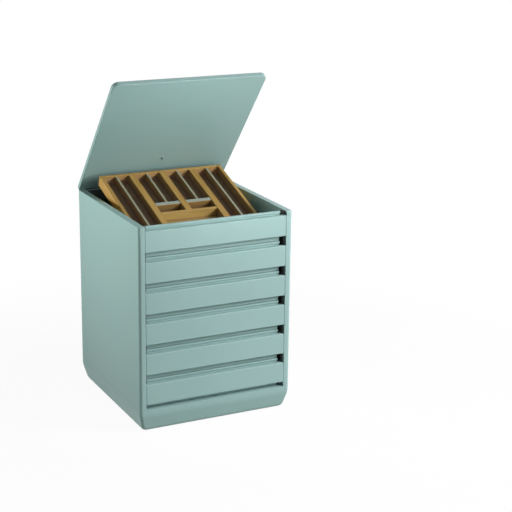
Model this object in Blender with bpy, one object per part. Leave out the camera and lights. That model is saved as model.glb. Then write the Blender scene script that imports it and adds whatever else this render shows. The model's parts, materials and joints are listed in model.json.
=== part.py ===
"""Chest of six drawers with a lifting lid and a divided tray that tilts up under it.

Units are metres, +Z is up and the drawers open towards -Y. The origin is on the floor, under the
middle of the chest's box. The chest stands as photographed: lid raised, tray tilted, drawers shut.
"""

import math

import bmesh
import bpy

# Seating gap between two pieces that touch, and running gap round a pin
FIT = 0.0003
PIN_FIT = 0.00008

# Case
CASE_WIDTH = 0.450
CASE_DEPTH = 0.456
SIDE_THICKNESS = 0.018
BACK_THICKNESS = 0.012
BACK_RECESS = 0.011
EDGE_RADIUS = 0.008
RIM_RADIUS = 0.002

# Base plinth: its outside turns in by the slant angle and rounds under at the floor
PLINTH_HEIGHT = 0.0665
PLINTH_THICKNESS = 0.044
FLOOR_THICKNESS = 0.014
SLANT_HEIGHT = 0.058
SLANT_ANGLE = math.radians(15)
SLANT_ROUND = 0.070
FOOT_ROUND = 0.016

# Drawer fronts and the grooves between them
DRAWER_COUNT = 6
FRONT_HEIGHT = 0.058
FRONT_THICKNESS = 0.016
FRONT_SIDE_GAP = 0.0005
FRONT_EDGE_RADIUS = 0.0015
LIP_RISE = 0.010
LIP_HEIGHT = 0.0045
LIP_REACH = 0.004
LIP_GAP = 0.0015
LIP_NOTCH = 0.007
INNER_DROP = 0.0155
INNER_THICKNESS = 0.004
RIM_CLEARANCE = 0.002
BASE_GROOVE = 0.0135
BASE_CLEARANCE = 0.002

# Moulded drawer trays and their guides
BOX_DROP = 0.008
BOX_HEIGHT = 0.040
BOX_WALL = 0.003
BOX_CORNER_RADIUS = 0.012
BOX_SIDE_GAP = 0.014
BOX_REAR_CLEARANCE = 0.008
FLANGE_WIDTH = 0.008
FLANGE_THICKNESS = 0.003
GUIDE_HEIGHT = 0.014
GUIDE_CLEARANCE = 0.002
GUIDE_SETBACK = 0.024
STOP_LENGTH = 0.014
STOP_CHAMFER = 0.010
STOP_CLEARANCE = 0.0012
NOSE_SETBACK = 0.007
NOSE_CLEARANCE = 0.001

# Lid and its hinge
LID_THICKNESS = 0.013
LID_GAP = 0.0005
LID_CORNER_RADIUS = 0.018
LID_EDGE_RADIUS = 0.0015
LID_OPEN = math.radians(50)
STUD_FROM_REAR = 0.112
STUD_RADIUS = 0.0025
STUD_TIP_RADIUS = 0.002
STUD_LENGTH = 0.004
HINGE_END_GAP = 0.0006
HINGE_KNUCKLES = 9
KNUCKLE_RADIUS = 0.0032
LEAF_THICKNESS = 0.0012
LEAF_HEIGHT = 0.005
ROLL_TURN = math.radians(300)

# Divided tray in the top drawer
TRAY_SIDE_CLEARANCE = 0.0035
TRAY_FRONT_SPACE = 0.081
TRAY_REAR_SPACE = 0.017
TRAY_HEIGHT = 0.030
TRAY_FLOOR = 0.004
TRAY_SIDE_RAIL = 0.010
TRAY_END_RAIL = 0.009
TRAY_HEEL_RADIUS = 0.006
TRAY_EDGE_RADIUS = 0.0006
BAR_WIDTH = 0.019
BAY_COUNT = 4
DIVIDER_THICKNESS = 0.007
DIVIDER_DROP = 0.001
CROSS_FROM_REAR = 0.161
CROSS_THICKNESS = 0.0145
WALL_FROM_REAR = 0.209
WALL_THICKNESS = 0.008
TRAY_TILT = math.radians(19)
PIVOT_INSET = 0.012
PIVOT_HEIGHT = 0.010
PIVOT_RADIUS = 0.003
PIVOT_DEPTH = 0.007

# Roundness of turned and rounded shapes
CORNER_STEPS = 5
ROUND_SIDES = 20

# Heights that follow from the stack of fronts and grooves
GROOVE_HEIGHT = LIP_RISE + LIP_GAP + INNER_DROP
FRONT_PITCH = FRONT_HEIGHT + GROOVE_HEIGHT
TOP_REVEAL = LIP_RISE + RIM_CLEARANCE
FRONTS_BOTTOM = PLINTH_HEIGHT + BASE_GROOVE
CASE_HEIGHT = FRONTS_BOTTOM + DRAWER_COUNT * FRONT_PITCH - GROOVE_HEIGHT + TOP_REVEAL

# The pin fills the knuckles' bore but for the running gap
PIN_RADIUS = KNUCKLE_RADIUS - LEAF_THICKNESS - PIN_FIT

# The back panel's rear face and, behind it, the hinge's axis, both measured back from the front plane
BACK_FACE = CASE_DEPTH - BACK_RECESS
HINGE_DEPTH = BACK_FACE + FIT + KNUCKLE_RADIUS
HINGE_Z = CASE_HEIGHT + LID_GAP / 2

# The lid ends at the hinge's axis, so that it turns on the sides' tops, and is cut back for the hinge
LID_BACK = KNUCKLE_RADIUS + FIT
LID_TOP = LID_GAP / 2 + LID_THICKNESS
LID_EDGE_REACH = (
    -LID_EDGE_RADIUS * math.cos(LID_OPEN)
    + (LID_TOP - LID_EDGE_RADIUS) * math.sin(LID_OPEN)
    + LID_EDGE_RADIUS
)
OVERALL_DEPTH = max(CASE_DEPTH, HINGE_DEPTH + max(LID_EDGE_REACH, KNUCKLE_RADIUS))
FRONT_Y = -OVERALL_DEPTH / 2

# Widths and depths that follow from the case
INNER_HALF = CASE_WIDTH / 2 - SIDE_THICKNESS
HINGE_HALF = INNER_HALF - HINGE_END_GAP
BOX_HALF = INNER_HALF - BOX_SIDE_GAP
FLANGE_HALF = BOX_HALF + FLANGE_WIDTH
BOX_FRONT = FRONT_THICKNESS + INNER_THICKNESS + 2 * FIT
BOX_REAR = BACK_FACE - BACK_THICKNESS - BOX_REAR_CLEARANCE
TRAY_HALF = BOX_HALF - BOX_WALL - TRAY_SIDE_CLEARANCE
TRAY_LENGTH = BOX_REAR - BOX_FRONT - 2 * BOX_WALL - TRAY_FRONT_SPACE - TRAY_REAR_SPACE
BAY_WIDTH = (2 * TRAY_HALF - 2 * TRAY_SIDE_RAIL - (BAY_COUNT - 1) * BAR_WIDTH) / BAY_COUNT

# Colour, roughness and metallic value of each finish
FINISHES = {
    "lacquer": ((0.33, 0.50, 0.47), 0.45, 0.0),
    "dark_plastic": ((0.02, 0.022, 0.022), 0.5, 0.0),
    "tray_wood": ((0.43, 0.24, 0.08), 0.5, 0.0),
    "divider": ((0.42, 0.48, 0.42), 0.35, 0.0),
    "steel": ((0.55, 0.55, 0.55), 0.35, 1.0),
    "stud_rubber": ((0.03, 0.03, 0.03), 0.7, 0.0),
}


def clear_scene():
    """Start from an empty scene."""
    for item in list(bpy.data.objects):
        bpy.data.objects.remove(item, do_unlink=True)


def finish_material(name, finish):
    """A material of its own for one piece."""
    colour, roughness, metallic = FINISHES[finish]
    material = bpy.data.materials.new(name)
    material.use_nodes = True
    shader = material.node_tree.nodes["Principled BSDF"]
    shader.inputs["Base Color"].default_value = (*colour, 1.0)
    shader.inputs["Roughness"].default_value = roughness
    shader.inputs["Metallic"].default_value = metallic
    material.diffuse_color = (*colour, 1.0)
    return material


def from_bmesh(name, shape, finish=None, parent=None, smooth=False):
    """Turn a bmesh into a named object."""
    bmesh.ops.recalc_face_normals(shape, faces=shape.faces)
    mesh = bpy.data.meshes.new(name)
    shape.to_mesh(mesh)
    shape.free()
    if smooth:
        mesh.shade_smooth()
        mesh.set_sharp_from_angle(angle=math.radians(35))
    piece = bpy.data.objects.new(name, mesh)
    bpy.context.scene.collection.objects.link(piece)
    if finish:
        mesh.materials.append(finish_material(name, finish))
    if parent:
        piece.parent = parent
    return piece


def axis_empty(name, location, parent=None):
    """An empty on a joint's axis, which carries the pieces that move with it."""
    empty = bpy.data.objects.new(name, None)
    bpy.context.scene.collection.objects.link(empty)
    empty.location = location
    if parent:
        empty.parent = parent
    return empty


def block_shape(low, high):
    """A box between two corners."""
    shape = bmesh.new()
    corners = bmesh.ops.create_cube(shape, size=1.0)["verts"]
    for corner in corners:
        for axis in range(3):
            share = corner.co[axis] + 0.5
            corner.co[axis] = low[axis] + share * (high[axis] - low[axis])
    return shape


def block(name, low, high, finish=None, parent=None):
    """A plain board between two corners."""
    return from_bmesh(name, block_shape(low, high), finish, parent)


def swept_shape(profile, start_x, end_x):
    """A profile of Y and Z points swept along X."""
    shape = bmesh.new()
    rings = [[shape.verts.new((x, y, z)) for y, z in profile] for x in (start_x, end_x)]
    for step in range(len(profile)):
        following = (step + 1) % len(profile)
        shape.faces.new((rings[0][step], rings[0][following], rings[1][following], rings[1][step]))
    shape.faces.new(rings[0])
    shape.faces.new(rings[1])
    return shape


def rod_shape(radius, start_x, end_x, y=0.0, z=0.0):
    """A round rod along X."""
    profile = []
    for step in range(ROUND_SIDES):
        angle = 2 * math.pi * step / ROUND_SIDES
        profile.append((y + radius * math.cos(angle), z + radius * math.sin(angle)))
    return swept_shape(profile, start_x, end_x)


def as_guide(piece):
    """Mark an object that only cuts or shapes others."""
    piece.hide_render = True
    piece.display_type = "WIRE"
    return piece


def combine(piece, other, operation):
    """Cut, join or trim a piece by another object."""
    modifier = piece.modifiers.new(operation.lower(), "BOOLEAN")
    modifier.operation = operation
    modifier.solver = "EXACT"
    modifier.object = other


def round_edges(piece, width, segments=2):
    """Round a board's sharp edges."""
    modifier = piece.modifiers.new("rounded_edges", "BEVEL")
    modifier.width = width
    modifier.segments = segments
    modifier.limit_method = "ANGLE"
    modifier.angle_limit = math.radians(40)


def rounded_rectangle(low_x, high_x, low_y, high_y, radius):
    """Corner points of a rounded rectangle, anticlockwise seen from above."""
    centres = (
        (high_x - radius, high_y - radius, 0),
        (low_x + radius, high_y - radius, 90),
        (low_x + radius, low_y + radius, 180),
        (high_x - radius, low_y + radius, 270),
    )
    points = []
    for x, y, start in centres:
        for step in range(CORNER_STEPS + 1):
            angle = math.radians(start + 90 * step / CORNER_STEPS)
            points.append((x + radius * math.cos(angle), y + radius * math.sin(angle)))
    return points


def loft(shape, outlines):
    """Join outlines of equal length, each a list of points and a height; return their rings."""
    rings = []
    for points, height in outlines:
        rings.append([shape.verts.new((x, y, height)) for x, y in points])
    for lower, upper in zip(rings, rings[1:]):
        count = len(lower)
        for step in range(count):
            following = (step + 1) % count
            shape.faces.new((lower[step], lower[following], upper[following], upper[step]))
    return rings


def case_outline(inset):
    """The case's plan, drawn in by an inset."""
    half = CASE_WIDTH / 2 - inset
    return rounded_rectangle(-half, half, FRONT_Y + inset, FRONT_Y + CASE_DEPTH - inset, EDGE_RADIUS)


def case_profile():
    """Inset and height pairs up the outside of the case, from the floor to the rim."""
    slant_drop = SLANT_ROUND * math.sin(SLANT_ANGLE)
    foot_rise = FOOT_ROUND * (1 - math.sin(SLANT_ANGLE))
    round_inset = SLANT_ROUND * (1 - math.cos(SLANT_ANGLE))
    slant_inset = round_inset + (SLANT_HEIGHT - slant_drop - foot_rise) * math.tan(SLANT_ANGLE)
    profile = []
    for step in range(CORNER_STEPS + 1):
        angle = math.pi / 2 + (SLANT_ANGLE - math.pi / 2) * step / CORNER_STEPS
        inset = slant_inset + FOOT_ROUND * (math.cos(SLANT_ANGLE) - math.cos(angle))
        profile.append((inset, FOOT_ROUND * (1 - math.sin(angle))))
    for step in range(CORNER_STEPS + 1):
        angle = SLANT_ANGLE * (1 - step / CORNER_STEPS)
        inset = SLANT_ROUND * (1 - math.cos(angle))
        profile.append((inset, SLANT_HEIGHT - SLANT_ROUND * math.sin(angle)))
    for step in range(CORNER_STEPS + 1):
        angle = math.pi / 2 * step / CORNER_STEPS
        inset = RIM_RADIUS * (1 - math.cos(angle))
        profile.append((inset, CASE_HEIGHT - RIM_RADIUS * (1 - math.sin(angle))))
    return profile


def case_form():
    """The solid outside of the whole case, which trims the plinth and the panels."""
    shape = bmesh.new()
    rings = loft(shape, [(case_outline(inset), height) for inset, height in case_profile()])
    shape.faces.new(rings[0])
    shape.faces.new(rings[-1])
    return as_guide(from_bmesh("case_form", shape))


def build_plinth(form):
    """The base frame, with a rebate that carries the floor panel."""
    half = CASE_WIDTH / 2
    rear = FRONT_Y + CASE_DEPTH
    ledge = PLINTH_HEIGHT - FLOOR_THICKNESS - FIT
    plinth = block("base_plinth", (-half, FRONT_Y, 0), (half, rear, PLINTH_HEIGHT), "lacquer")
    opening = as_guide(block(
        "plinth_opening",
        (-half + PLINTH_THICKNESS, FRONT_Y + PLINTH_THICKNESS, -PLINTH_HEIGHT),
        (half - PLINTH_THICKNESS, rear - PLINTH_THICKNESS, 2 * PLINTH_HEIGHT),
    ))
    rebate = as_guide(block(
        "plinth_rebate",
        (-INNER_HALF, FRONT_Y + SIDE_THICKNESS, ledge),
        (INNER_HALF, rear - SIDE_THICKNESS, 2 * PLINTH_HEIGHT),
    ))
    combine(plinth, form, "INTERSECT")
    combine(plinth, opening, "DIFFERENCE")
    combine(plinth, rebate, "DIFFERENCE")
    block(
        "floor_panel",
        (-INNER_HALF + FIT, FRONT_Y + SIDE_THICKNESS + FIT, ledge + FIT),
        (INNER_HALF - FIT, rear - SIDE_THICKNESS - FIT, PLINTH_HEIGHT),
        "lacquer",
    )


def build_panels(form):
    """Both sides and the back, which lies in between their rear edges, standing on the plinth."""
    half = CASE_WIDTH / 2
    rear = FRONT_Y + CASE_DEPTH
    back = FRONT_Y + BACK_FACE
    foot = PLINTH_HEIGHT + FIT
    left = block("left_side", (-half, FRONT_Y, foot), (-INNER_HALF, rear, CASE_HEIGHT), "lacquer")
    right = block("right_side", (INNER_HALF, FRONT_Y, foot), (half, rear, CASE_HEIGHT), "lacquer")
    for panel in (left, right):
        combine(panel, form, "INTERSECT")
    block(
        "back_panel",
        (-INNER_HALF + FIT, back - BACK_THICKNESS, foot),
        (INNER_HALF - FIT, back, CASE_HEIGHT),
        "lacquer",
    )


def front_top(index):
    """Height of a drawer front's top edge, counted from the top drawer."""
    return CASE_HEIGHT - TOP_REVEAL - index * FRONT_PITCH


def box_bottom(index):
    """Height of a moulded drawer tray's underside."""
    return front_top(index) - FRONT_HEIGHT - BOX_DROP


def build_front(number, slide):
    """The flat front panel of one drawer, hung from its top edge."""
    half = INNER_HALF - FRONT_SIDE_GAP
    low = (-half, 0, -FRONT_HEIGHT)
    high = (half, FRONT_THICKNESS, 0)
    panel = block(f"drawer_{number}_front", low, high, "lacquer", slide)
    round_edges(panel, FRONT_EDGE_RADIUS)


def build_inner_front(number, slide):
    """The recessed board behind a front, with a lip along its top and its right end cut short."""
    face = FRONT_THICKNESS + FIT
    back = face + INNER_THICKNESS
    nose = face - LIP_REACH
    drop = INNER_DROP if number < DRAWER_COUNT else BASE_GROOVE - BASE_CLEARANCE
    bottom = -FRONT_HEIGHT - drop
    lip_bottom = LIP_RISE - LIP_HEIGHT
    profile = (
        (face, bottom),
        (back, bottom),
        (back, LIP_RISE),
        (nose, LIP_RISE),
        (nose, lip_bottom),
        (face, lip_bottom),
    )
    shape = swept_shape(profile, -FLANGE_HALF, FLANGE_HALF - LIP_NOTCH)
    from_bmesh(f"drawer_{number}_inner_front", shape, "lacquer", slide)


def build_box(number, bottom, slide):
    """The moulded tray of one drawer: an open box with a flange along each side."""
    top = bottom + BOX_HEIGHT
    flange_bottom = top - FLANGE_THICKNESS
    outer = rounded_rectangle(-BOX_HALF, BOX_HALF, BOX_FRONT, BOX_REAR, BOX_CORNER_RADIUS)
    inner = rounded_rectangle(
        -BOX_HALF + BOX_WALL,
        BOX_HALF - BOX_WALL,
        BOX_FRONT + BOX_WALL,
        BOX_REAR - BOX_WALL,
        BOX_CORNER_RADIUS - BOX_WALL,
    )
    shape = bmesh.new()
    rings = loft(shape, [
        (outer, bottom),
        (outer, flange_bottom),
        (outer, top),
        (inner, top),
        (inner, bottom + BOX_WALL),
    ])
    shape.faces.new(rings[0])
    shape.faces.new(rings[-1])
    for side in (-1, 1):
        wall = [
            face for face in shape.faces
            if all(abs(corner.co.x - side * BOX_HALF) < FIT for corner in face.verts)
            and all(corner.co.z > flange_bottom - FIT for corner in face.verts)
        ]
        flange = bmesh.ops.extrude_discrete_faces(shape, faces=wall)["faces"]
        for corner in flange[0].verts:
            corner.co.x = side * FLANGE_HALF
    return from_bmesh(f"drawer_{number}_box", shape, "dark_plastic", slide)


def stop_profile(index, strip_bottom):
    """Side view of a guide's stop block, whose nose reaches forward in the groove above the front."""
    groove_top = front_top(index) + (GROOVE_HEIGHT - NOSE_CLEARANCE if index else LIP_RISE)
    nose_bottom = front_top(index) + NOSE_CLEARANCE
    front = FRONT_Y + GUIDE_SETBACK
    return (
        (front, strip_bottom),
        (front + STOP_LENGTH, strip_bottom),
        (front + STOP_LENGTH, groove_top - STOP_CHAMFER),
        (front, groove_top),
        (FRONT_Y + NOSE_SETBACK, groove_top),
        (FRONT_Y + NOSE_SETBACK, nose_bottom),
        (front, nose_bottom),
    )


def build_guide(number, index, side):
    """The strip that carries a drawer's flange, with a taller stop block at its front end."""
    word = "left" if side < 0 else "right"
    strip_top = box_bottom(index) + BOX_HEIGHT - FLANGE_THICKNESS - FIT
    strip_bottom = strip_top - GUIDE_HEIGHT
    outer_x = side * (INNER_HALF - FIT)
    strip_x = side * (BOX_HALF + GUIDE_CLEARANCE)
    stop_x = side * (FLANGE_HALF + STOP_CLEARANCE)
    front = FRONT_Y + GUIDE_SETBACK
    rear = FRONT_Y + BACK_FACE - BACK_THICKNESS - FIT
    profile = ((front, strip_bottom), (rear, strip_bottom), (rear, strip_top), (front, strip_top))
    strip = from_bmesh(
        f"drawer_{number}_guide_{word}", swept_shape(profile, strip_x, outer_x), "dark_plastic"
    )
    stop = swept_shape(stop_profile(index, strip_bottom), stop_x, outer_x)
    combine(strip, as_guide(from_bmesh(f"drawer_{number}_stop_{word}", stop)), "UNION")


def build_drawer(index):
    """One drawer on its slide, with its guides in the case; return the slide and the tray."""
    number = index + 1
    top = front_top(index)
    slide = axis_empty(f"drawer_{number}_slide", (0, FRONT_Y, top))
    build_front(number, slide)
    build_inner_front(number, slide)
    box = build_box(number, box_bottom(index) - top, slide)
    for side in (-1, 1):
        build_guide(number, index, side)
    return slide, box


def lid_outline(inset, rear_inset):
    """The lid's plan in the hinge's frame: rounded at its front corners, cut back between the sides."""
    half = CASE_WIDTH / 2
    cut_half = INNER_HALF + rear_inset
    centre_y = LID_CORNER_RADIUS - HINGE_DEPTH
    radius = LID_CORNER_RADIUS - inset
    outline = [
        (half - inset, -rear_inset),
        (cut_half, -rear_inset),
        (cut_half, -LID_BACK - rear_inset),
        (-cut_half, -LID_BACK - rear_inset),
        (-cut_half, -rear_inset),
        (-half + inset, -rear_inset),
    ]
    for centre_x, start in ((-half + LID_CORNER_RADIUS, 180), (half - LID_CORNER_RADIUS, 270)):
        for step in range(2 * CORNER_STEPS + 1):
            angle = math.radians(start + 45 * step / CORNER_STEPS)
            outline.append((centre_x + radius * math.cos(angle), centre_y + radius * math.sin(angle)))
    return outline


def build_lid(axis):
    """The lid panel, drawn shut in its own frame and raised by the hinge's empty."""
    bottom = LID_GAP / 2
    outlines = []
    for step in range(CORNER_STEPS + 1):
        angle = math.pi / 2 * step / CORNER_STEPS
        inset = LID_EDGE_RADIUS * (1 - math.sin(angle))
        outlines.append((lid_outline(inset, 0), bottom + LID_EDGE_RADIUS * (1 - math.cos(angle))))
    for step in range(CORNER_STEPS + 1):
        angle = math.pi / 2 * step / CORNER_STEPS
        inset = LID_EDGE_RADIUS * (1 - math.cos(angle))
        outlines.append((lid_outline(inset, inset), LID_TOP - LID_EDGE_RADIUS * (1 - math.sin(angle))))
    shape = bmesh.new()
    rings = loft(shape, outlines)
    shape.faces.new(rings[0])
    shape.faces.new(rings[-1])
    from_bmesh("lid", shape, "lacquer", axis, smooth=True)


def build_stud(axis):
    """The small stud on the lid's inner face."""
    shape = bmesh.new()
    bmesh.ops.create_cone(
        shape,
        cap_ends=True,
        segments=ROUND_SIDES,
        radius1=STUD_TIP_RADIUS,
        radius2=STUD_RADIUS,
        depth=STUD_LENGTH,
    )
    stud = from_bmesh("lid_stud", shape, "stud_rubber", axis)
    stud.location = (0, -LID_BACK - STUD_FROM_REAR, LID_GAP / 2 - FIT - STUD_LENGTH / 2)


def knuckle_spans(first):
    """Start and end of every second knuckle along the hinge."""
    pitch = 2 * HINGE_HALF / HINGE_KNUCKLES
    spans = []
    for index in range(first, HINGE_KNUCKLES, 2):
        start = -HINGE_HALF + index * pitch
        spans.append((start + FIT / 2, start + pitch - FIT / 2))
    return spans


def roll_profile(direction):
    """Outer and inner points of a knuckle, from the plate's edge round the pin."""
    edge = direction * (KNUCKLE_RADIUS + FIT)
    outer = [(-KNUCKLE_RADIUS, edge)]
    inner = [(-KNUCKLE_RADIUS + LEAF_THICKNESS, edge)]
    for step in range(ROUND_SIDES + 1):
        angle = math.pi + ROLL_TURN * step / ROUND_SIDES
        for points, radius in ((outer, KNUCKLE_RADIUS), (inner, KNUCKLE_RADIUS - LEAF_THICKNESS)):
            points.append((radius * math.cos(angle), direction * radius * math.sin(angle)))
    return outer, inner


def add_plate(shape, profile, stations, open_spans):
    """A strip of four corners swept along X, left open where a knuckle joins it; return its rows."""
    rows = [[shape.verts.new((x, y, z)) for y, z in profile] for x in stations]
    for row, following, x in zip(rows, rows[1:], stations):
        for corner in range(4):
            if corner == 0 and x in open_spans:
                continue
            after = (corner + 1) % 4
            shape.faces.new((row[corner], row[after], following[after], following[corner]))
    shape.faces.new(rows[0])
    shape.faces.new(rows[-1])
    return rows


def add_knuckle(shape, outer, inner, first_row, last_row, start, end):
    """Roll the plate round the pin between two stations."""
    sides = []
    for x, row in ((start, first_row), (end, last_row)):
        outside = [row[0]] + [shape.verts.new((x, y, z)) for y, z in outer[1:]]
        inside = [row[1]] + [shape.verts.new((x, y, z)) for y, z in inner[1:]]
        for step in range(len(outside) - 1):
            shape.faces.new((outside[step], outside[step + 1], inside[step + 1], inside[step]))
        sides.append(outside + inside[::-1])
    for step in range(len(sides[0]) - 1):
        shape.faces.new((sides[0][step], sides[0][step + 1], sides[1][step + 1], sides[1][step]))


def build_leaf(name, first, direction, parent):
    """One hinge leaf about its own axis: a plate, with knuckles rolled round the pin."""
    half = HINGE_HALF - FIT / 2
    outer, inner = roll_profile(direction)
    far_z = direction * (KNUCKLE_RADIUS + FIT + LEAF_HEIGHT)
    profile = [outer[0], inner[0], (inner[0][0], far_z), (outer[0][0], far_z)]
    spans = [(round(start, 6), round(end, 6)) for start, end in knuckle_spans(first)]
    ends = {round(-half, 6), round(half, 6)}
    stations = sorted(ends.union(*spans))
    shape = bmesh.new()
    rows = add_plate(shape, profile, stations, [start for start, end in spans])
    for start, end in spans:
        place = stations.index(start)
        add_knuckle(shape, outer, inner, rows[place], rows[place + 1], start, end)
    from_bmesh(name, shape, "steel", parent)


def build_hinge(lid_axis):
    """The hinge along the back edge: one leaf on the case, one on the lid, and the pin."""
    case_axis = axis_empty("hinge_line", (0, FRONT_Y + HINGE_DEPTH, HINGE_Z))
    build_leaf("hinge_case_leaf", 0, -1, case_axis)
    build_leaf("hinge_lid_leaf", 1, 1, lid_axis)
    pin = rod_shape(PIN_RADIUS, -HINGE_HALF, HINGE_HALF)
    from_bmesh("hinge_pin", pin, "steel", case_axis, smooth=True)


def tray_board(name, low, high, axis, finish="tray_wood"):
    """One of the tray's boards, its edges taken off."""
    board = block(name, low, high, finish, axis)
    round_edges(board, TRAY_EDGE_RADIUS, 1)


def heel_profile(front, rear, bottom, top):
    """Side view of a tray rail whose lower rear corner is rounded."""
    profile = [(front, top), (front, bottom)]
    for step in range(CORNER_STEPS + 1):
        angle = math.radians(-90 + 90 * step / CORNER_STEPS)
        profile.append((
            rear - TRAY_HEEL_RADIUS * (1 - math.cos(angle)),
            bottom + TRAY_HEEL_RADIUS * (1 + math.sin(angle)),
        ))
    profile.append((rear, top))
    return profile


def tray_rails(axis, front, rear, bottom, top):
    """The tray's outer frame and its floor."""
    inner = TRAY_HALF - TRAY_SIDE_RAIL
    for word, side in (("left", -1), ("right", 1)):
        shape = swept_shape(heel_profile(front, rear, bottom, top), side * inner, side * TRAY_HALF)
        rail = from_bmesh(f"tray_{word}_rail", shape, "tray_wood", axis)
        round_edges(rail, TRAY_EDGE_RADIUS, 1)
        bore = rod_shape(PIVOT_RADIUS + PIN_FIT, side * (TRAY_HALF - PIVOT_DEPTH - FIT), side * CASE_WIDTH)
        combine(rail, as_guide(from_bmesh(f"tray_{word}_bore", bore, None, axis)), "DIFFERENCE")
    inner -= FIT
    rear_shape = swept_shape(heel_profile(rear - TRAY_END_RAIL, rear, bottom, top), -inner, inner)
    rear_rail = from_bmesh("tray_rear_rail", rear_shape, "tray_wood", axis)
    round_edges(rear_rail, TRAY_EDGE_RADIUS, 1)
    tray_board("tray_front_rail", (-inner, front, bottom), (inner, front + TRAY_END_RAIL, top), axis)
    block(
        "tray_floor",
        (-inner, front + TRAY_END_RAIL + FIT, bottom),
        (inner, rear - TRAY_END_RAIL - FIT, bottom + TRAY_FLOOR),
        "tray_wood",
        axis,
    )


def bay_start(index):
    """Left edge of one of the tray's bays."""
    return -TRAY_HALF + TRAY_SIDE_RAIL + index * (BAY_WIDTH + BAR_WIDTH)


def tray_bars(axis, front, rear, floor, top):
    """The wide bars between bays; the inner ones stop at the cross wall."""
    wall_rear = rear - WALL_FROM_REAR
    for index in range(1, BAY_COUNT):
        outer_bar = index in (1, BAY_COUNT - 1)
        start = front + TRAY_END_RAIL + FIT if outer_bar else wall_rear + FIT
        end_x = bay_start(index)
        tray_board(
            f"tray_bar_{index}",
            (end_x - BAR_WIDTH, start, floor),
            (end_x, rear - TRAY_END_RAIL - FIT, top),
            axis,
        )
    tray_board(
        "tray_cross_wall",
        (bay_start(1) + FIT, wall_rear - WALL_THICKNESS, floor),
        (bay_start(BAY_COUNT - 1) - BAR_WIDTH - FIT, wall_rear, top),
        axis,
    )


def tray_dividers(axis, front, rear, floor, top):
    """A thin divider down each bay, and a cross divider that ends the inner bays' slots."""
    cross_rear = rear - CROSS_FROM_REAR
    for index in range(BAY_COUNT):
        outer_bay = index in (0, BAY_COUNT - 1)
        middle = bay_start(index) + BAY_WIDTH / 2
        start = front + TRAY_END_RAIL + FIT if outer_bay else cross_rear + FIT
        tray_board(
            f"tray_divider_{index + 1}",
            (middle - DIVIDER_THICKNESS / 2, start, floor),
            (middle + DIVIDER_THICKNESS / 2, rear - TRAY_END_RAIL - FIT, top - DIVIDER_DROP),
            axis,
            "divider",
        )
        if not outer_bay:
            tray_board(
                f"tray_cross_divider_{index}",
                (bay_start(index) + FIT, cross_rear - CROSS_THICKNESS, floor),
                (bay_start(index) + BAY_WIDTH - FIT, cross_rear, top - DIVIDER_DROP),
                axis,
                "divider",
            )


def build_tray(slide, box):
    """The divided tray, drawn flat about its pivot and tilted up by the pivot's empty."""
    tray_front = BOX_FRONT + BOX_WALL + TRAY_FRONT_SPACE
    dip = PIVOT_INSET * math.sin(TRAY_TILT) + PIVOT_HEIGHT * math.cos(TRAY_TILT)
    pivot_z = box_bottom(0) + BOX_WALL + FIT + dip - front_top(0)
    axis = axis_empty("tray_axis", (0, tray_front + PIVOT_INSET, pivot_z), slide)
    axis.rotation_euler.x = TRAY_TILT
    front = -PIVOT_INSET
    rear = front + TRAY_LENGTH
    bottom = -PIVOT_HEIGHT
    top = bottom + TRAY_HEIGHT
    floor = bottom + TRAY_FLOOR + FIT
    tray_rails(axis, front, rear, bottom, top)
    tray_bars(axis, front, rear, floor, top)
    tray_dividers(axis, front, rear, floor, top)
    bore = rod_shape(PIVOT_RADIUS + PIN_FIT, -CASE_WIDTH, CASE_WIDTH, tray_front + PIVOT_INSET, pivot_z)
    combine(box, as_guide(from_bmesh("tray_pivot_bore", bore, None, slide)), "DIFFERENCE")
    for word, side in (("left", -1), ("right", 1)):
        pin = rod_shape(PIVOT_RADIUS, side * (TRAY_HALF - PIVOT_DEPTH), side * BOX_HALF)
        from_bmesh(f"tray_pivot_pin_{word}", pin, "steel", axis, smooth=True)


def build_chest():
    """Build every piece of the chest in place."""
    clear_scene()
    form = case_form()
    build_plinth(form)
    build_panels(form)
    drawers = [build_drawer(index) for index in range(DRAWER_COUNT)]
    top_slide, top_box = drawers[0]
    build_tray(top_slide, top_box)
    lid_axis = axis_empty("lid_axis", (0, FRONT_Y + HINGE_DEPTH, HINGE_Z))
    lid_axis.rotation_euler.x = -LID_OPEN
    build_lid(lid_axis)
    build_stud(lid_axis)
    build_hinge(lid_axis)


build_chest()
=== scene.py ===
"""Looks, light and camera for the chest of drawers with its lid up. Metres, +Z up."""

import json
import math

import bmesh
import bpy
from mathutils import Matrix, Vector

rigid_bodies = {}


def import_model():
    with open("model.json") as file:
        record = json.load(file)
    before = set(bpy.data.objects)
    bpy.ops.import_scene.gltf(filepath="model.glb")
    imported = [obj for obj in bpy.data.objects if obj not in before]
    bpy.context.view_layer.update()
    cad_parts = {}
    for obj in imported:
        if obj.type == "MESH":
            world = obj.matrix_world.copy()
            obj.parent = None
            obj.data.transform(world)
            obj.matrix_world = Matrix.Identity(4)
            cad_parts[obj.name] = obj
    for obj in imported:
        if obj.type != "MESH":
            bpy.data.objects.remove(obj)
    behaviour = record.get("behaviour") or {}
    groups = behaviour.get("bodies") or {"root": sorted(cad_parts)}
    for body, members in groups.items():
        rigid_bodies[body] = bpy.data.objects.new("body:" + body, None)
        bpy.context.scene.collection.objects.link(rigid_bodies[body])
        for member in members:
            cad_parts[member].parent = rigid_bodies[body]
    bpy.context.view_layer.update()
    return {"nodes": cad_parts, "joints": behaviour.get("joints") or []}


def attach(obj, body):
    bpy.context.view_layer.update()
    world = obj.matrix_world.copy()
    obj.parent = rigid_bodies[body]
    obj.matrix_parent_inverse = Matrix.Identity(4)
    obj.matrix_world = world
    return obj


# Camera
CAMERA_PLACE = (-1.510, -3.425, 1.520)
CAMERA_YAW = math.radians(26.96)
CAMERA_PITCH = math.radians(-16.48)
CAMERA_ROLL = math.radians(0.81)
CAMERA_LENS = 97.3
SENSOR_WIDTH = 36.0

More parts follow.
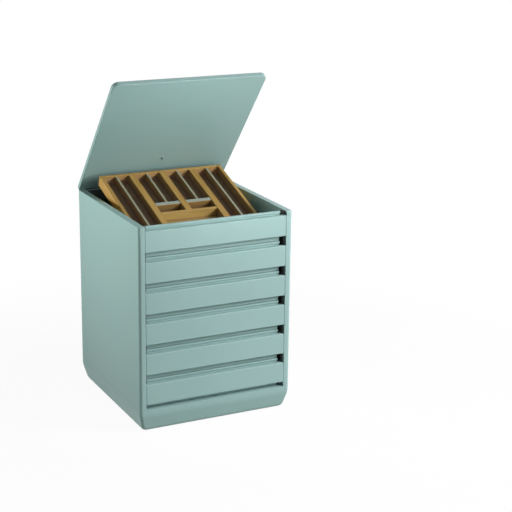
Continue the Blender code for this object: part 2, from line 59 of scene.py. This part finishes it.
# Colours of the case and the lid, as linear values
LACQUER = (0.306, 0.482, 0.464)
LACQUER_DEEP = (0.291, 0.463, 0.442)
# Painted highlight on the lacquer's edges
LACQUER_EDGE_HIGHLIGHT = (0.325, 0.502, 0.484)
# Painted shade on the lid's rim faces
LID_RIM_SHADE = 0.78
# Painted shade on the faces inside the back panel
BACK_INSIDE_SHADE = (0.075, 0.088, 0.085)
# Charcoal of the drawer boxes and guides, partly painted shade in the chest's interior and at the grooves'
# ends
CHARCOAL = (0.016, 0.018, 0.018)
CHARCOAL_LIGHT = (0.030, 0.033, 0.033)
STEEL = (0.085, 0.088, 0.085)
STEEL_SHADE = 0.8
RUBBER = (0.055, 0.075, 0.066)
RUBBER_DUST = 1.8

# Colours of the tray; the three tones of a wood go from its dark bands to its light ones
WOOD = ((0.293, 0.167, 0.033), (0.370, 0.225, 0.051), (0.425, 0.275, 0.071))
WOOD_BAY = ((0.240, 0.155, 0.045), (0.300, 0.205, 0.065), (0.345, 0.250, 0.090))
# Lighter front-face tones of the front rail and cross wall: painted light where the front light falls
WOOD_FRONT_LIT = ((0.365, 0.245, 0.064), (0.451, 0.319, 0.098), (0.515, 0.385, 0.132))
WOOD_END = ((0.272, 0.160, 0.045), (0.342, 0.212, 0.063), (0.392, 0.256, 0.088))
# Lighter, warmer tones of the tray's outer sides: painted light where the side light falls
WOOD_OUTSIDE_LIT = ((0.400, 0.185, 0.018), (0.505, 0.247, 0.027), (0.585, 0.300, 0.038))
# Dark brown felt, partly painted shade on the slots' floors
SHADED_FELT = (0.165, 0.106, 0.068)
SHADED_FELT_PALE = (0.250, 0.160, 0.100)
STRIP = (0.230, 0.232, 0.160)
STRIP_LIGHT = (0.295, 0.297, 0.206)
CROSS_STRIP = (0.255, 0.300, 0.250)
CROSS_STRIP_LIGHT = (0.330, 0.380, 0.320)

# Painted shade at the foot of a slot's walls, and the share of bare wood at the walls' top, where the
# painted shade fades out
SLOT_SHADE = (0.178, 0.124, 0.085)
CROSS_SLOT_SHADE = (0.140, 0.088, 0.036)
END_SLOT_SHADE = (0.330, 0.218, 0.140)
WALL_SHARE = 0.70
END_SHARE = 1.0

# Range in which most of a noise value lies
NOISE_LOW = 0.3
NOISE_MIDDLE = 0.5
NOISE_HIGH = 0.7

# Lacquer finish
LACQUER_CLOUD = {"scale": 5.0, "detail": 3.0}
LACQUER_PEEL = {"scale": 420.0, "detail": 2.0}
LACQUER_RELIEF = {"strength": 0.05, "distance": 0.0004}
LACQUER_ROUGHNESS = (0.40, 0.50)
LACQUER_SPECULAR = 0.45
LID_TOP_SPECULAR = 0.005
LID_TOP_FACING = (0.7, 0.9)
LACQUER_EDGE_RADIUS = 0.0008
# Share of the painted highlight on the lacquer's edges
LACQUER_EDGE_HIGHLIGHT_SHARE = 0.45

# Charcoal finish
CHARCOAL_CLOUD = {"scale": 9.0, "detail": 3.0}
CHARCOAL_GRAIN = {"scale": 900.0, "detail": 2.0}
CHARCOAL_RELIEF = {"strength": 0.25, "distance": 0.0003}
CHARCOAL_ROUGHNESS = (0.50, 0.66)

# Wood finish; bands and pores are stretched along the grain
WOOD_BAND = {"scale": 6.0, "detail": 5.0, "distortion": 0.6}
WOOD_PORE = {"scale": 6.0, "detail": 3.0}
BAND_ACROSS = 9.0
BAND_ALONG = 0.8
PORE_ACROSS = 150.0
PORE_ALONG = 5.0
PORE_SHARE = 0.35
WOOD_RELIEF = {"strength": 0.18, "distance": 0.0004}
WOOD_ROUGHNESS = (0.44, 0.58)
WOOD_EDGE_RADIUS = 0.0010

# Felt finish
FELT_NAP = {"scale": 700.0, "detail": 5.0, "distortion": 1.2}
FELT_RELIEF = {"strength": 0.5, "distance": 0.0008}
FELT_ROUGHNESS = 0.95

# Divider finish
STRIP_BRUSH = {"scale": 9.0, "detail": 3.0}
STRIP_STRETCH = (60.0, 2.0, 60.0)
STRIP_RELIEF = {"strength": 0.06, "distance": 0.0003}
STRIP_ROUGHNESS = (0.32, 0.46)
STRIP_BELOW_ROUGHNESS = 0.6

# Steel finish
STEEL_BRUSH = {"scale": 5.0, "detail": 3.0}
STEEL_STRETCH = (4.0, 500.0, 500.0)
STEEL_RELIEF = {"strength": 0.08, "distance": 0.0002}
STEEL_ROUGHNESS = (0.28, 0.42)

# Rubber finish
RUBBER_GRAIN = {"scale": 1200.0, "detail": 3.0}
RUBBER_STOPS = (0.35, 0.75)
RUBBER_RELIEF = {"strength": 0.1, "distance": 0.0002}
RUBBER_ROUGHNESS = (0.65, 0.8)

# How far a normal turns: at an edge, at the lid's rim, and on faces that look one way
EDGE_SAMPLES = 6
EDGE_FLAT = 0.995
EDGE_SHARP = 0.80
RIM_FLAT = 0.95
RIM_TURNED = 0.5
SIDEWAYS = 0.7
INTO_CHEST = -0.7
FORWARD = -0.6
UPWARD = 0.6

# Sky, seen as white, which lights the chest more from the front right
SKY_AWAY = 0.07
SKY_TOWARD = 0.41
SKY_FROM = (0.60, -0.72, 0.35)
SKY_FACING = (-0.3, 1.0)

# Studio floor; it glows from a share near the chest to the full white farther off
FLOOR_SIZE = 60.0
FLOOR_BOUNCE = (0.325, 0.355, 0.32)
FLOOR_SHOWN = (0.95, 0.95, 0.95)
FLOOR_GLOW = 0.94
FLOOR_NEAR = 0.55
FLOOR_FAR = 1.30

# Lamps
KEY_LIGHT = {
    "place": (1.60, -1.50, 1.38),
    "target": (0.05, -0.1, 0.28),
    "size": 1.0,
    "power": 11.8,
    "colour": (1.0, 0.945, 0.965),
    "spread_angle": math.radians(70),
}
SIDE_LIGHT = {
    "place": (-2.1, 1.05, 0.62),
    "target": (-0.225, -0.1, 0.80),
    "size": 0.55,
    "power": 5.0,
    "colour": (0.91, 1.0, 0.965),
    "spread_angle": math.radians(60),
}
LID_LIGHT = {
    "place": (0.75, -2.1, 0.50),
    "target": (-0.07, 0.0, 1.05),
    "size": 0.20,
    "power": 1.02,
    "colour": (1.0, 0.995, 0.985),
    "spread_angle": math.radians(32),
}

# Lid and tray as they stand at rest; the tray's half width is taken at the middles of its side rails
LID_OPEN = math.radians(50)
TRAY_TILT = math.radians(19)
TRAY_LINED_HALF = 0.1815
SLOT_DEPTH = 0.026

# Hinge screws, and where a leaf's outer face and the middle of its plate lie from the hinge's axis
SCREW_RADIUS = 0.0018
SCREW_TOP_SHARE = 0.75
SCREW_RISE = 0.0005
SCREW_SIDES = 24
SCREW_BEVEL = 0.0001
SCREW_BEVEL_STEPS = 2
SCREW_TOP_NORMAL = 0.9
SCREW_SLOT_WIDTH = 0.0006
SCREW_SLOT_SHARE = 1.3
SCREW_SLOT_RISE = 0.00012
SCREW_SPIN = 0.7
SCREW_PITCH = 0.0459
SCREW_COUNT = 9
LEAF_FACE = -0.0020
LEAF_MIDDLE = 0.0060

# Axes by number
ACROSS = 0
ALONG = 1

# Sockets of the mix node, which share their names
VALUE_FIRST = 2
VALUE_SECOND = 3
COLOUR_FIRST = 6
COLOUR_SECOND = 7
COLOUR_RESULT = 2


def new_material(name):
    """A material with nodes; return it, its node tree and its shader."""
    material = bpy.data.materials.new(name)
    material.use_nodes = True
    tree = material.node_tree
    return material, tree, tree.nodes["Principled BSDF"]


def node(tree, kind, **settings):
    """Add a node and set its plain properties."""
    made = tree.nodes.new(kind)
    for key, value in settings.items():
        setattr(made, key, value)
    return made


def mapped(tree, scale=(1, 1, 1), turn=(0, 0, 0)):
    """Coordinates fixed to the object, turned and then stretched."""
    place = node(tree, "ShaderNodeTexCoord")
    rotate = node(tree, "ShaderNodeMapping", vector_type="POINT")
    rotate.inputs["Rotation"].default_value = turn
    stretch = node(tree, "ShaderNodeMapping", vector_type="POINT")
    stretch.inputs["Scale"].default_value = scale
    tree.links.new(place.outputs["Object"], rotate.inputs["Vector"])
    tree.links.new(rotate.outputs["Vector"], stretch.inputs["Vector"])
    return stretch.outputs["Vector"]


def split(tree, vector):
    """The X, Y and Z of a vector."""
    made = node(tree, "ShaderNodeSeparateXYZ")
    tree.links.new(vector, made.inputs["Vector"])
    return made.outputs


def own_place(tree):
    """The X, Y and Z of a point, in coordinates that stay with the object."""
    return split(tree, node(tree, "ShaderNodeTexCoord").outputs["Object"])


def own_normal(tree):
    """The X, Y and Z of the way a face looks, which stays with the object."""
    return split(tree, node(tree, "ShaderNodeTexCoord").outputs["Normal"])


def noise(tree, vector, scale, detail, distortion=0.0):
    """A noise value on given coordinates."""
    made = node(tree, "ShaderNodeTexNoise")
    made.inputs["Scale"].default_value = scale
    made.inputs["Detail"].default_value = detail
    made.inputs["Distortion"].default_value = distortion
    tree.links.new(vector, made.inputs["Vector"])
    return made.outputs["Fac"]


def ramp(tree, factor, places, colours):
    """Colours along a value."""
    made = node(tree, "ShaderNodeValToRGB")
    band = made.color_ramp
    while len(band.elements) < len(places):
        band.elements.new(1.0)
    for element, place, colour in zip(band.elements, places, colours):
        element.position = place
        element.color = (*colour, 1.0)
    tree.links.new(factor, made.inputs["Fac"])
    return made.outputs["Color"]


def two_tones(tree, factor, dark, light):
    """A noise value as a colour between two tones."""
    return ramp(tree, factor, (NOISE_LOW, NOISE_HIGH), (dark, light))


def map_range(tree, value, start, end, low=0.0, high=1.0, kind="LINEAR"):
    """Map a value from one range to another and hold it there."""
    made = node(tree, "ShaderNodeMapRange", interpolation_type=kind)
    made.inputs["From Min"].default_value = start
    made.inputs["From Max"].default_value = end
    made.inputs["To Min"].default_value = low
    made.inputs["To Max"].default_value = high
    tree.links.new(value, made.inputs["Value"])
    return made.outputs["Result"]


def spread(tree, factor, low, high):
    """Map a noise value to a range."""
    return map_range(tree, factor, NOISE_LOW, NOISE_HIGH, low, high)


def math_pair(tree, operation, first, second):
    """A value worked out from two others; the second may be a plain number."""
    made = node(tree, "ShaderNodeMath", operation=operation)
    tree.links.new(first, made.inputs[0])
    if isinstance(second, float):
        made.inputs[1].default_value = second
    else:
        tree.links.new(second, made.inputs[1])
    return made.outputs[0]


def size_of(tree, value):
    """A value without its sign."""
    return math_pair(tree, "ABSOLUTE", value, 0.0)


def above(tree, value, limit):
    """1 where a value is above a limit."""
    return math_pair(tree, "GREATER_THAN", value, limit)


def below(tree, value, limit):
    """1 where a value is below a limit."""
    return math_pair(tree, "LESS_THAN", value, limit)


def dot(tree, first, second):
    """The dot product of two vectors; the second may be plain numbers."""
    made = node(tree, "ShaderNodeVectorMath", operation="DOT_PRODUCT")
    tree.links.new(first, made.inputs[0])
    if isinstance(second, tuple):
        made.inputs[1].default_value = second
    else:
        tree.links.new(second, made.inputs[1])
    return made.outputs["Value"]


def bump(tree, height, strength, distance, normal=None):
    """A bump from a height value."""
    made = node(tree, "ShaderNodeBump")
    made.inputs["Strength"].default_value = strength
    made.inputs["Distance"].default_value = distance
    tree.links.new(height, made.inputs["Height"])
    if normal:
        tree.links.new(normal, made.inputs["Normal"])
    return made.outputs["Normal"]


def edge_light(tree, radius):
    """How near a point is to a sharp edge, and the normal that rounds it."""
    bevel = node(tree, "ShaderNodeBevel", samples=EDGE_SAMPLES)
    bevel.inputs["Radius"].default_value = radius
    rounded = bevel.outputs["Normal"]
    flat = node(tree, "ShaderNodeNewGeometry").outputs["Normal"]
    return map_range(tree, dot(tree, rounded, flat), EDGE_FLAT, EDGE_SHARP), rounded


def blend_colour(tree, factor, first, second):
    """Mix two colours by a value; each is plain numbers or comes from a node."""
    made = node(tree, "ShaderNodeMix", data_type="RGBA")
    tree.links.new(factor, made.inputs["Factor"])
    for place, colour in ((COLOUR_FIRST, first), (COLOUR_SECOND, second)):
        if isinstance(colour, tuple):
            made.inputs[place].default_value = (*colour, 1.0)
        else:
            tree.links.new(colour, made.inputs[place])
    return made.outputs[COLOUR_RESULT]


def toned(colour, share):
    """A colour at a share of its lightness."""
    return tuple(share * value for value in colour)


def connect(tree, shader, colour, normal, rough=None):
    """Give a shader its colour, its normal and, where it varies, its roughness."""
    tree.links.new(colour, shader.inputs["Base Color"])
    tree.links.new(normal, shader.inputs["Normal"])
    if rough:
        tree.links.new(rough, shader.inputs["Roughness"])


def lid_facing(tree):
    """How a face of the lid is turned, from 1 on its outer face to -1 on its inner face."""
    normal = node(tree, "ShaderNodeTexCoord").outputs["Normal"]
    return dot(tree, normal, (0.0, math.sin(LID_OPEN), math.cos(LID_OPEN)))


def lid_rim(tree):
    """How far a face of the lid turns from its two large faces, from 0 to 1."""
    return map_range(tree, size_of(tree, lid_facing(tree)), RIM_FLAT, RIM_TURNED)


def lacquer_material(name, rim=False, shaded_inside=False):
    """Satin lacquer on board: faint cloudiness, fine orange peel and a painted highlight that lightens its
    edges a little; for the lid, painted shade on its rim faces, and for the back, painted shade on its
    inside.
    """
    material, tree, shader = new_material(name)
    cloud = noise(tree, mapped(tree), **LACQUER_CLOUD)
    peel = noise(tree, mapped(tree), **LACQUER_PEEL)
    edge, rounded = edge_light(tree, LACQUER_EDGE_RADIUS)
    # Painted highlight: the edges of the lacquer are lightened a little
    edge_highlight = math_pair(tree, "MULTIPLY", edge, LACQUER_EDGE_HIGHLIGHT_SHARE)
    colour = blend_colour(tree, edge_highlight, two_tones(tree, cloud, LACQUER_DEEP, LACQUER), LACQUER_EDGE_HIGHLIGHT)
    if rim:
        # Painted shade: the lid's rim faces are darkened
        colour = blend_colour(tree, lid_rim(tree), colour, toned(LACQUER_DEEP, LID_RIM_SHADE))
    if shaded_inside:
        # Painted shade: the faces that look into the chest are darkened
        inner = below(tree, own_normal(tree)["Y"], INTO_CHEST)
        colour = blend_colour(tree, inner, colour, BACK_INSIDE_SHADE)
    normal = bump(tree, peel, normal=rounded, **LACQUER_RELIEF)
    connect(tree, shader, colour, normal, spread(tree, cloud, *LACQUER_ROUGHNESS))
    shader.inputs["Specular IOR Level"].default_value = LACQUER_SPECULAR
    if rim:
        gloss = map_range(tree, lid_facing(tree), *LID_TOP_FACING, LACQUER_SPECULAR, LID_TOP_SPECULAR)
        tree.links.new(gloss, shader.inputs["Specular IOR Level"])
    return material


def charcoal_material():
    """Moulded charcoal plastic with a fine spark texture; its near black is partly painted shade in the
    chest's interior and at the grooves' ends.
    """
    material, tree, shader = new_material("charcoal_plastic")
    place = mapped(tree)
    grain = noise(tree, place, **CHARCOAL_GRAIN)
    cloud = noise(tree, place, **CHARCOAL_CLOUD)
    colour = two_tones(tree, cloud, CHARCOAL, CHARCOAL_LIGHT)
    rough = spread(tree, grain, *CHARCOAL_ROUGHNESS)
    connect(tree, shader, colour, bump(tree, grain, **CHARCOAL_RELIEF), rough)
    return material


def side_faces(tree, outside):
    """1 on the faces of a tray board that look sideways, either out of the tray or into a slot."""
    sideways = above(tree, size_of(tree, own_normal(tree)["X"]), SIDEWAYS)
    place = size_of(tree, own_place(tree)["X"])
    reach = above(tree, place, TRAY_LINED_HALF) if outside else below(tree, place, TRAY_LINED_HALF)
    return math_pair(tree, "MULTIPLY", sideways, reach)


def stretched(across, along, axis):
    """A scale that differs along one axis."""
    scale = [across, across, across]
    scale[axis] = along
    return scale


def wood_colour(tree, axis, tones=WOOD):
    """Light wood with its grain along one axis; return its colour, its bands and its pores."""
    turn = (-TRAY_TILT, 0, 0)
    band = noise(tree, mapped(tree, stretched(BAND_ACROSS, BAND_ALONG, axis), turn), **WOOD_BAND)
    pore = noise(tree, mapped(tree, stretched(PORE_ACROSS, PORE_ALONG, axis), turn), **WOOD_PORE)
    colour = ramp(tree, band, (NOISE_LOW, NOISE_MIDDLE, NOISE_HIGH), tones)
    streak = math_pair(tree, "MULTIPLY", spread(tree, pore, 0.0, 1.0), PORE_SHARE)
    return blend_colour(tree, streak, colour, tones[0]), band, pore


def slot_shade_colour(tree, wood, tray_top, foot_shade=SLOT_SHADE, share=WALL_SHARE):
    """Painted shade on a slot's wall: full at the foot, fading to a share of bare wood at the tray's top."""
    height = split(tree, mapped(tree, turn=(-TRAY_TILT, 0, 0)))["Z"]
    rise = map_range(tree, height, tray_top - SLOT_DEPTH, tray_top, kind="SMOOTHSTEP")
    return blend_colour(tree, math_pair(tree, "MULTIPLY", rise, share), foot_shade, wood)


def wood_material(name, axis, tray_top, front_tones=None, front_shade=None):
    """Oiled light wood: painted shade on its sides in a slot, painted light in lighter, warmer tones on its
    outer sides, and the given tones on its front faces, with painted shade toward their foot where a front
    shade is given.
    """
    material, tree, shader = new_material(name)
    colour, band, pore = wood_colour(tree, axis)
    # Painted shade: a slot's walls darken toward their foot
    wall = slot_shade_colour(tree, colour, tray_top)
    colour = blend_colour(tree, side_faces(tree, False), colour, wall)
    # Painted light: the outer sides take lighter, warmer tones
    outside = wood_colour(tree, axis, WOOD_OUTSIDE_LIT)[0]
    colour = blend_colour(tree, side_faces(tree, True), colour, outside)
    # The front faces take the given tones; on the front rail and cross wall these are painted light
    if front_tones:
        facing = wood_colour(tree, axis, front_tones)[0]
        # Painted shade: the front faces darken toward the slot's foot
        if front_shade:
            facing = slot_shade_colour(tree, facing, tray_top, front_shade, END_SHARE)
        colour = blend_colour(tree, below(tree, own_normal(tree)["Y"], FORWARD), colour, facing)
    rounded = edge_light(tree, WOOD_EDGE_RADIUS)[1]
    normal = bump(tree, pore, normal=rounded, **WOOD_RELIEF)
    connect(tree, shader, colour, normal, spread(tree, band, *WOOD_ROUGHNESS))
    return material


def tray_floor_material(felt_from, bay_half):
    """The tray's floor: bare wood in its front bay, and dark brown felt behind it and at both sides, whose
    dark tone is partly painted shade on the slots' floors.
    """
    material, tree, shader = new_material("felt_and_shade_floor")
    nap = noise(tree, mapped(tree), **FELT_NAP)
    # Felt whose dark tone is partly painted shade on the slots' floors
    felt = two_tones(tree, nap, SHADED_FELT, SHADED_FELT_PALE)
    wood = wood_colour(tree, ACROSS, WOOD_BAY)[0]
    place = own_place(tree)
    behind = above(tree, place["Y"], felt_from)
    beside = above(tree, size_of(tree, place["X"]), bay_half)
    lined = math_pair(tree, "MAXIMUM", behind, beside)
    connect(tree, shader, blend_colour(tree, lined, wood, felt), bump(tree, nap, **FELT_RELIEF))
    shader.inputs["Roughness"].default_value = FELT_ROUGHNESS
    return material


def strip_material(name, dark, light, axis, tray_top, foot_shade):
    """A divider: a brushed satin strip on top, and wood below it with painted shade toward the slot's foot.
    """
    material, tree, shader = new_material(name)
    brushed = noise(tree, mapped(tree, STRIP_STRETCH, (-TRAY_TILT, 0, 0)), **STRIP_BRUSH)
    pale = two_tones(tree, brushed, dark, light)
    # Painted shade: the divider's sides darken toward the slot's foot
    wall = slot_shade_colour(tree, wood_colour(tree, axis)[0], tray_top, foot_shade)
    not_top = below(tree, own_normal(tree)["Z"], UPWARD)
    colour = blend_colour(tree, not_top, pale, wall)
    rough = math_pair(
        tree,
        "MAXIMUM",
        spread(tree, brushed, *STRIP_ROUGHNESS),
        math_pair(tree, "MULTIPLY", not_top, STRIP_BELOW_ROUGHNESS),
    )
    connect(tree, shader, colour, bump(tree, brushed, **STRIP_RELIEF), rough)
    return material


def steel_material():
    """Brushed hinge steel."""
    material, tree, shader = new_material("hinge_steel")
    brushed = noise(tree, mapped(tree, STEEL_STRETCH), **STEEL_BRUSH)
    colour = two_tones(tree, brushed, toned(STEEL, STEEL_SHADE), STEEL)
    rough = spread(tree, brushed, *STEEL_ROUGHNESS)
    connect(tree, shader, colour, bump(tree, brushed, **STEEL_RELIEF), rough)
    shader.inputs["Metallic"].default_value = 1.0
    return material


def rubber_material():
    """Dark rubber of the stud, a little dusty."""
    material, tree, shader = new_material("stud_rubber")
    dust = noise(tree, mapped(tree), **RUBBER_GRAIN)
    colour = ramp(tree, dust, RUBBER_STOPS, (RUBBER, toned(RUBBER, RUBBER_DUST)))
    rough = spread(tree, dust, *RUBBER_ROUGHNESS)
    connect(tree, shader, colour, bump(tree, dust, **RUBBER_RELIEF), rough)
    return material


def middle_of(piece, axis):
    """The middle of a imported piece's box along one axis."""
    places = [corner.co[axis] for corner in piece.data.vertices]
    return (min(places) + max(places)) / 2


def top_of_tray(rail):
    """The height of a tilted rail's top, measured square to the tray's floor."""
    lift = Vector((0.0, -math.sin(TRAY_TILT), math.cos(TRAY_TILT)))
    return max(lift.dot(corner.co) for corner in rail.data.vertices)


def make_materials(nodes):
    """Every material, by the word that picks it."""
    tray_top = top_of_tray(nodes["tray_left_rail"])
    felt_from = middle_of(nodes["tray_cross_wall"], ALONG)
    bay_half = middle_of(nodes["tray_bar_3"], ACROSS)
    return {
        "lacquer": lacquer_material("satin_lacquer"),
        "lid_lacquer": lacquer_material("lid_lacquer", rim=True),
        "back_lacquer": lacquer_material("back_lacquer", shaded_inside=True),
        "charcoal": charcoal_material(),
        "wood_along": wood_material("tray_wood_along", ALONG, tray_top),
        "wood_across": wood_material("tray_wood_across", ACROSS, tray_top, WOOD_FRONT_LIT),
        "wood_rear": wood_material("tray_wood_rear", ACROSS, tray_top, WOOD_END, END_SLOT_SHADE),
        "felt": tray_floor_material(felt_from, bay_half),
        "divider": strip_material("divider_strip", STRIP, STRIP_LIGHT, ALONG, tray_top, SLOT_SHADE),
        "cross_divider": strip_material(
            "cross_strip", CROSS_STRIP, CROSS_STRIP_LIGHT, ACROSS, tray_top, CROSS_SLOT_SHADE
        ),
        "steel": steel_material(),
        "rubber": rubber_material(),
    }


def material_word(name):
    """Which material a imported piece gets, from its name."""
    words = {
        "lid_stud": "rubber",
        "lid": "lid_lacquer",
        "back_panel": "back_lacquer",
        "tray_floor": "felt",
        "tray_rear_rail": "wood_rear",
        "tray_front_rail": "wood_across",
        "tray_cross_wall": "wood_across",
    }
    if name in words:
        return words[name]
    # Boxes and guides in charcoal, whose near black is partly painted shade
    if "guide" in name or name.endswith("_box"):
        return "charcoal"
    if name.startswith("hinge") or "pivot_pin" in name:
        return "steel"
    if "cross_divider" in name:
        return "cross_divider"
    if "divider" in name:
        return "divider"
    if name.startswith("tray"):
        return "wood_along"
    return "lacquer"


def dress_nodes(nodes, materials):
    """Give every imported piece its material."""
    for name, piece in nodes.items():
        piece.data.materials.clear()
        piece.data.materials.append(materials[material_word(name)])


def finished_mesh(shape, name):
    """Turn a drawn shape into a mesh."""
    mesh = bpy.data.meshes.new(name)
    shape.to_mesh(mesh)
    shape.free()
    return mesh


def screw_mesh():
    """A low screw head that faces +Z, with a rounded rim."""
    shape = bmesh.new()
    bmesh.ops.create_cone(
        shape,
        cap_ends=True,
        segments=SCREW_SIDES,
        radius1=SCREW_RADIUS,
        radius2=SCREW_TOP_SHARE * SCREW_RADIUS,
        depth=SCREW_RISE,
    )
    top = next(face for face in shape.faces if face.normal.z > SCREW_TOP_NORMAL)
    bmesh.ops.bevel(
        shape,
        geom=list(top.edges),
        offset=SCREW_BEVEL,
        segments=SCREW_BEVEL_STEPS,
        affect="EDGES",
    )
    return finished_mesh(shape, "screw_head")


def screw_slot_mesh():
    """The dark bar that reads as the screw's slot: painted shade for the slot's recess."""
    shape = bmesh.new()
    corners = bmesh.ops.create_cube(shape, size=1.0)["verts"]
    for corner in corners:
        corner.co.x *= SCREW_SLOT_SHARE * SCREW_RADIUS
        corner.co.y *= SCREW_SLOT_WIDTH
        corner.co.z *= SCREW_SLOT_RISE
    return finished_mesh(shape, "screw_slot")


def add_piece(name, mesh, material, place, body):
    """A piece of the scene's own that moves with a body of the chest."""
    made = bpy.data.objects.new(name, mesh)
    made.data.materials.append(material)
    made.matrix_world = place
    bpy.context.scene.collection.objects.link(made)
    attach(made, body)


def place_screws(leaf, body, axis, turn, side, materials):
    """Screws along a hinge leaf's plate, on the face that looks away from the chest."""
    hinge = Matrix.Translation(axis) @ Matrix.Rotation(turn, 4, "X")
    facing = Matrix.Rotation(-math.pi / 2, 4, "X")
    for index in range(SCREW_COUNT):
        x = (index - (SCREW_COUNT - 1) / 2) * SCREW_PITCH
        spot = hinge @ Matrix.Translation((x, LEAF_FACE, side * LEAF_MIDDLE)) @ facing
        head = spot @ Matrix.Translation((0, 0, SCREW_RISE / 2))
        add_piece(f"{leaf}_screw_{index + 1}", screw_mesh(), materials["steel"], head, body)
        spin = Matrix.Rotation(SCREW_SPIN * index, 4, "Z")
        groove = spot @ Matrix.Translation((0, 0, SCREW_RISE)) @ spin
        # The slot bar is painted shade where the real slot is a recess
        add_piece(f"{leaf}_screw_slot_{index + 1}", screw_slot_mesh(), materials["rubber"], groove, body)


def seen_directly(tree):
    """1 for camera, glossy and transmitted rays, 0 for the rest."""
    path = node(tree, "ShaderNodeLightPath").outputs
    shown = math_pair(tree, "MAXIMUM", path["Is Camera Ray"], path["Is Glossy Ray"])
    return math_pair(tree, "MAXIMUM", shown, path["Is Transmission Ray"])


def matt(tree, colour):
    """A plain matt surface."""
    made = node(tree, "ShaderNodeBsdfDiffuse")
    made.inputs["Color"].default_value = (*colour, 1.0)
    return made.outputs["BSDF"]


def mix_shaders(tree, factor, first, second):
    """Mix two surfaces by a value."""
    made = node(tree, "ShaderNodeMixShader")
    tree.links.new(factor, made.inputs["Fac"])
    tree.links.new(first, made.inputs[1])
    tree.links.new(second, made.inputs[2])
    return made.outputs["Shader"]


def pale_floor_material():
    """Nearly white where it is seen, with the chest's shadow on it, and darker where it lights the chest."""
    material, tree, shader = new_material("pale_floor")
    tree.nodes.remove(shader)
    reach = node(tree, "ShaderNodeVectorMath", operation="LENGTH")
    tree.links.new(node(tree, "ShaderNodeTexCoord").outputs["Object"], reach.inputs[0])
    share = map_range(tree, reach.outputs["Value"], FLOOR_NEAR, FLOOR_FAR, FLOOR_GLOW, 1.0)
    glow = node(tree, "ShaderNodeEmission").outputs["Emission"]
    pale = mix_shaders(tree, share, matt(tree, FLOOR_SHOWN), glow)
    surface = mix_shaders(tree, seen_directly(tree), matt(tree, FLOOR_BOUNCE), pale)
    tree.links.new(surface, tree.nodes["Material Output"].inputs["Surface"])
    return material


def make_floor():
    """A plain pale floor."""
    shape = bmesh.new()
    bmesh.ops.create_grid(shape, x_segments=1, y_segments=1, size=FLOOR_SIZE / 2)
    floor = bpy.data.objects.new("floor", finished_mesh(shape, "floor"))
    bpy.context.scene.collection.objects.link(floor)
    floor.data.materials.append(pale_floor_material())


def make_world():
    """White where it is seen, and a soft sky, brighter at the front right, where it lights the chest."""
    world = bpy.data.worlds.new("studio")
    bpy.context.scene.world = world
    world.use_nodes = True
    tree = world.node_tree
    toward = dot(tree, node(tree, "ShaderNodeTexCoord").outputs["Generated"], SKY_FROM)
    level = map_range(tree, toward, *SKY_FACING, SKY_AWAY, SKY_TOWARD)
    strength = node(tree, "ShaderNodeMix", data_type="FLOAT")
    tree.links.new(seen_directly(tree), strength.inputs["Factor"])
    tree.links.new(level, strength.inputs[VALUE_FIRST])
    strength.inputs[VALUE_SECOND].default_value = 1.0
    background = tree.nodes["Background"]
    tree.links.new(strength.outputs["Result"], background.inputs["Strength"])
    background.inputs["Color"].default_value = (1.0, 1.0, 1.0, 1.0)


def add_light(name, place, target, size, power, colour, spread_angle):
    """A square soft light that faces a point."""
    lamp = bpy.data.lights.new(name, "AREA")
    lamp.size = size
    lamp.energy = power
    lamp.color = colour
    lamp.spread = spread_angle
    holder = bpy.data.objects.new(name, lamp)
    holder.location = place
    direction = Vector(target) - Vector(place)
    holder.rotation_euler = direction.to_track_quat("-Z", "Y").to_euler()
    bpy.context.scene.collection.objects.link(holder)


def make_lights():
    """A soft light from the front right, one from the left behind, and a low one on the lid's inside."""
    add_light("key", **KEY_LIGHT)
    add_light("side", **SIDE_LIGHT)
    add_light("lid_fill", **LID_LIGHT)


def make_camera():
    """A camera at the photograph's viewing angle."""
    lens = bpy.data.cameras.new("camera")
    lens.lens = CAMERA_LENS
    lens.sensor_width = SENSOR_WIDTH
    camera = bpy.data.objects.new("camera", lens)
    bpy.context.scene.collection.objects.link(camera)
    flat = math.cos(CAMERA_PITCH)
    forward = Vector((math.sin(CAMERA_YAW) * flat, math.cos(CAMERA_YAW) * flat, math.sin(CAMERA_PITCH)))
    level = Vector((math.cos(CAMERA_YAW), -math.sin(CAMERA_YAW), 0.0))
    upright = level.cross(forward)
    right = level * math.cos(CAMERA_ROLL) + upright * math.sin(CAMERA_ROLL)
    up = right.cross(forward)
    turn = Matrix((right, up, -forward)).transposed().to_4x4()
    camera.matrix_world = Matrix.Translation(CAMERA_PLACE) @ turn
    bpy.context.scene.camera = camera


for item in list(bpy.data.objects):
    bpy.data.objects.remove(item, do_unlink=True)
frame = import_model()
looks = make_materials(frame["nodes"])
dress_nodes(frame["nodes"], looks)
hinge_axis = next(joint["pos_m"] for joint in frame["joints"] if joint["name"] == "lid_hinge")
place_screws("hinge_case_leaf", "case", hinge_axis, 0.0, -1, looks)
place_screws("hinge_lid_leaf", "lid", hinge_axis, -LID_OPEN, 1, looks)
make_floor()
make_world()
make_lights()
make_camera()
bpy.context.scene.view_settings.view_transform = "Standard"
